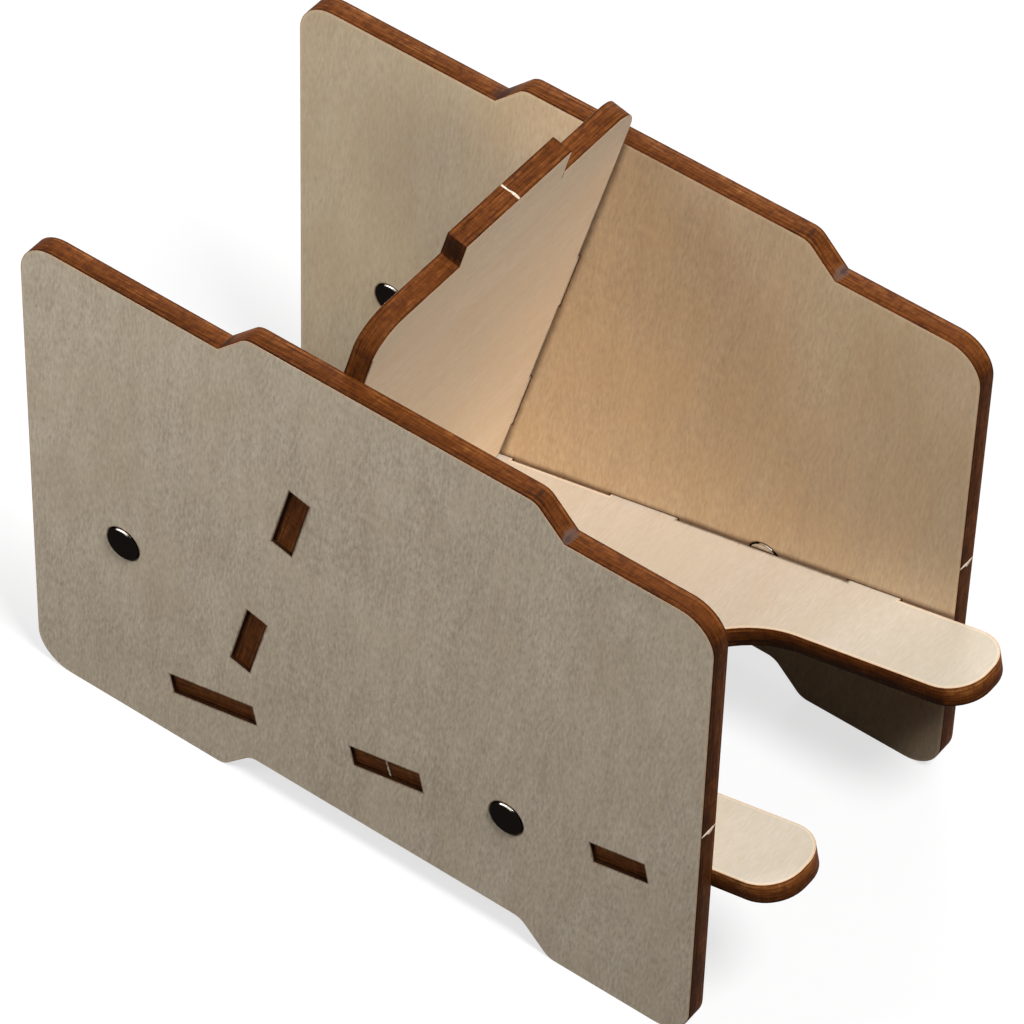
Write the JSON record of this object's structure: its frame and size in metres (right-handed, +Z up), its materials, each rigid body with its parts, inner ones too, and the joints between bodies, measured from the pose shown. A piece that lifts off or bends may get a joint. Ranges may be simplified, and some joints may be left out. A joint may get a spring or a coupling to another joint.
{
  "type": "card tray",
  "caption": "Plywood card tray with a sloping floor, finger scoop, leaning back rest, stacking side panels and disc magnets for coupling trays side by side.",
  "frame": {"origin": "on the surface that the tray stands on, under the middle of the whole tray", "axes": "+X towards the finger tongues at the front, +Y across the tray to its right side panel, +Z up"},
  "size_m": [0.114, 0.0586, 0.0933],
  "materials": {
    "side_ply": "matt birch veneer with laser-burnt edges",
    "floor_ply": "matt birch veneer with laser-burnt edges",
    "back_ply": "matt birch veneer with laser-burnt edges",
    "magnet": "dark mirror-like plating"
  },
  "bodies": {
    "root": {"left_side_panel": "side_ply", "right_side_panel": "side_ply", "floor_panel": "floor_ply", "back_rest": "back_ply", "magnet_left_rear": "magnet", "magnet_left_front": "magnet", "magnet_right_rear": "magnet", "magnet_right_front": "magnet"}
  },
  "joints": []
}
